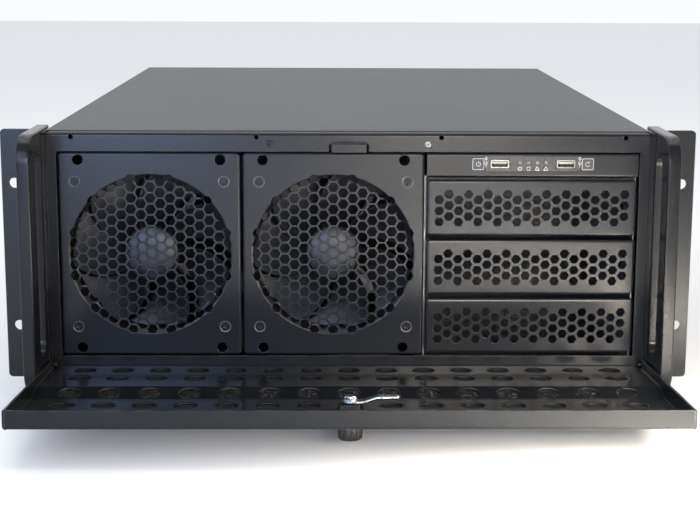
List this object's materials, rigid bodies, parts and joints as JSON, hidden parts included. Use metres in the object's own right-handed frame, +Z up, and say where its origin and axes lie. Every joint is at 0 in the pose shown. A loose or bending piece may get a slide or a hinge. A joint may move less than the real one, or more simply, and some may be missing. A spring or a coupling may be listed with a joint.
{
  "type": "empty rackmount server case",
  "caption": "Black steel rackmount case with rack ears, loop handles, dished fan grilles, hexagon-vented bay covers and a drop-down perforated door with a cam lock.",
  "frame": {"origin": "centre of the rack-hole pattern on the front face of the ears", "axes": "+X to the right of the front, +Y to the rear, +Z up"},
  "size_m": [0.4826, 0.7708, 0.185],
  "materials": {
    "powder_black": "fine-texture black powder coat on folded steel",
    "zinc_steel": "bare zinc-coated sheet steel",
    "bright_zinc": "bright zinc plate on the lock cam and its nut",
    "fan_black": "moulded black glass-filled plastic",
    "board_green": "solder-masked circuit board",
    "port_metal": "nickel-plated port shell",
    "lamp_clear": "clear lamp lens",
    "mesh_black": "woven dust mesh",
    "screw_black": "black-oxide steel",
    "screw_zinc": "zinc-plated steel",
    "button_black": "moulded black push button",
    "knob_black": "black-coated die-cast lock",
    "brass_post": "turned brass standoff"
  },
  "bodies": {
    "case": {"bay_cover_1": "powder_black", "bay_cover_2": "powder_black", "bay_cover_3": "powder_black", "board_standoffs": "brass_post", "button_switches": "button_black", "card_bar": "zinc_steel", "chassis_tray": "powder_black", "control_board": "board_green", "control_panel": "powder_black", "cover_screws": "screw_black", "drive_cage": "zinc_steel", "ear_left": "powder_black", "ear_right": "powder_black", "ear_screws": "screw_black", "fan_frame_left": "fan_black", "fan_frame_right": "fan_black", "fan_panel_left": "powder_black", "fan_panel_right": "powder_black", "fan_screws_left": "screw_black", "fan_screws_right": "screw_black", "front_panel": "powder_black", "handle_left": "powder_black", "handle_right": "powder_black", "handle_screws": "screw_black", "hinge_pin_left": "screw_zinc", "hinge_pin_right": "screw_zinc", "partition": "powder_black", "rear_panel": "powder_black", "slot_cover_1": "zinc_steel", "slot_cover_2": "zinc_steel", "slot_cover_3": "zinc_steel", "slot_cover_4": "zinc_steel", "slot_cover_5": "zinc_steel", "slot_cover_6": "zinc_steel", "slot_cover_7": "zinc_steel", "status_lamps": "lamp_clear", "strip_screws": "screw_zinc", "top_cover": "powder_black", "usb_port_left": "port_metal", "usb_port_right": "port_metal"},
    "door": {"door": "powder_black", "door_mesh": "mesh_black", "lock_body": "knob_black", "lock_nut": "knob_black"},
    "lock": {"lock_knob": "knob_black", "lock_cam": "bright_zinc", "lock_cam_nut": "bright_zinc"},
    "rotor_left": {"fan_rotor_left": "fan_black"},
    "rotor_right": {"fan_rotor_right": "fan_black"},
    "power_key": {"power_button": "button_black"},
    "reset_key": {"reset_button": "button_black"}
  },
  "joints": [
    {"name": "door_hinge", "type": "hinge", "parent": "case", "child": "door", "pos_m": [0, 0.007, -0.0815], "axis": [-1, 0, 0], "range_deg": [0, 85.5]},
    {"name": "lock_turn", "type": "hinge", "parent": "door", "child": "lock", "pos_m": [0, -0.11774, -0.07971], "axis": [0, -0.0785, -0.9969], "range_deg": [0, 90]},
    {"name": "fan_left_spin", "type": "hinge", "parent": "case", "child": "rotor_left", "pos_m": [-0.1407, 0.033, -0.0025], "axis": [0, 1, 0], "continuous": true},
    {"name": "fan_right_spin", "type": "hinge", "parent": "case", "child": "rotor_right", "pos_m": [-0.0109, 0.033, -0.0025], "axis": [0, 1, 0], "continuous": true},
    {"name": "power_press", "type": "slide", "parent": "case", "child": "power_key", "axis": [0, 1, 0], "range_m": [0, 0.001], "stiffness_N_per_m": 600},
    {"name": "reset_press", "type": "slide", "parent": "case", "child": "reset_key", "axis": [0, 1, 0], "range_m": [0, 0.001], "stiffness_N_per_m": 600}
  ]
}
